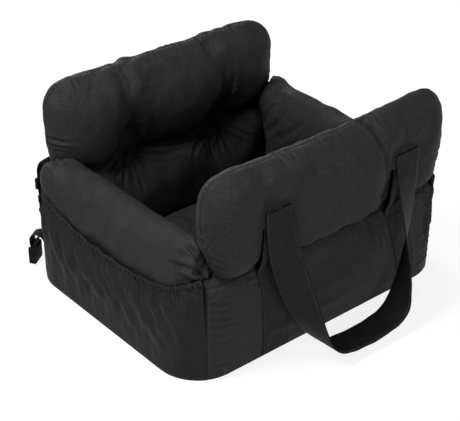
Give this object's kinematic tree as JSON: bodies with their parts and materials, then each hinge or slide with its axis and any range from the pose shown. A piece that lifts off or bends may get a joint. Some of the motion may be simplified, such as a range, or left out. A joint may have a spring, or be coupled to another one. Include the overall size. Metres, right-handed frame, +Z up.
{
  "type": "dog car seat",
  "caption": "Soft rectangular dog car seat: padded tub with tall front and back cushions, side rolls above gathered pockets, carrying handles and halves of webbing belts.",
  "frame": {"origin": "on the floor under the middle of the tub, at the base cloth's underside", "axes": "+Z up; the front cushion with the hanging handle seen in the picture faces -Y; +X to the right seen from the front"},
  "size_m": [0.5938, 0.6784, 0.3703],
  "materials": {
    "cloth": "black woven polyester",
    "lining_cloth": "black soft lining",
    "base_cloth": "coated black cloth",
    "foam": "closed-cell foam board",
    "board": "matt",
    "webbing": "folded cloth strap and woven webbing",
    "elastic": "cloth-covered elastic",
    "buckle_plastic": "satin moulded"
  },
  "bodies": {
    "tub": {"back_board": "foam", "back_cover": "cloth", "back_cushion": "cloth", "back_left_band": "webbing", "back_lining": "lining_cloth", "back_right_band": "webbing", "base_board": "board", "base_cloth": "base_cloth", "base_foam": "foam", "front_board": "foam", "front_cover": "cloth", "front_cushion": "cloth", "front_left_band": "webbing", "front_lining": "lining_cloth", "front_right_band": "webbing", "left_board": "foam", "left_cover": "cloth", "left_elastic": "elastic", "left_pocket": "cloth", "left_roll": "cloth", "lower_left_tab": "webbing", "lower_right_tab": "webbing", "right_board": "foam", "right_cover": "cloth", "right_elastic": "elastic", "right_pocket": "cloth", "right_roll": "cloth", "upper_left_tab": "webbing", "upper_right_tab": "webbing"},
    "seat_cushion": {"seat_cushion": "cloth"},
    "front_handle": {"front_handle": "webbing"},
    "back_handle": {"back_handle": "webbing"},
    "upper_left_belt": {"upper_left_belt": "webbing", "upper_belt_clip": "buckle_plastic"},
    "upper_belt_slider": {"upper_belt_slider": "buckle_plastic"},
    "upper_right_belt": {"upper_right_belt": "webbing", "upper_belt_socket": "buckle_plastic"},
    "lower_left_belt": {"lower_left_belt": "webbing", "lower_belt_socket": "buckle_plastic"},
    "lower_right_belt": {"lower_right_belt": "webbing", "lower_belt_clip": "buckle_plastic"}
  },
  "joints": [
    {"name": "seat_cushion_lift", "type": "slide", "parent": "tub", "child": "seat_cushion", "axis": [0, 0, 1], "range_m": [0, 0.12]},
    {"name": "front_handle_swing", "type": "hinge", "parent": "tub", "child": "front_handle", "pos_m": [0.008, -0.25677, 0.293], "axis": [-1, 0, 0], "range_deg": [0, 150]},
    {"name": "back_handle_swing", "type": "hinge", "parent": "tub", "child": "back_handle", "pos_m": [0.008, 0.25031, 0.293], "axis": [1, 0, 0], "range_deg": [0, 150]},
    {"name": "upper_left_belt_swing", "type": "hinge", "parent": "tub", "child": "upper_left_belt", "pos_m": [-0.24086, 0.2437, 0.2038], "axis": [0.9659, 0.2588, 0], "range_deg": [0, 85]},
    {"name": "upper_belt_slider_slide", "type": "slide", "parent": "upper_left_belt", "child": "upper_belt_slider", "axis": [0, 0, 1], "range_m": [-0.006, 0.001]},
    {"name": "upper_right_belt_swing", "type": "hinge", "parent": "tub", "child": "upper_right_belt", "pos_m": [0.24086, 0.2437, 0.2038], "axis": [0.9659, -0.2588, 0], "range_deg": [0, 85]},
    {"name": "lower_left_belt_swing", "type": "hinge", "parent": "tub", "child": "lower_left_belt", "pos_m": [-0.27065, 0.2353, 0.0678], "axis": [0.829, 0.5592, 0], "range_deg": [0, 85]},
    {"name": "lower_right_belt_swing", "type": "hinge", "parent": "tub", "child": "lower_right_belt", "pos_m": [0.27065, 0.2353, 0.0678], "axis": [0.829, -0.5592, 0], "range_deg": [0, 85]}
  ]
}
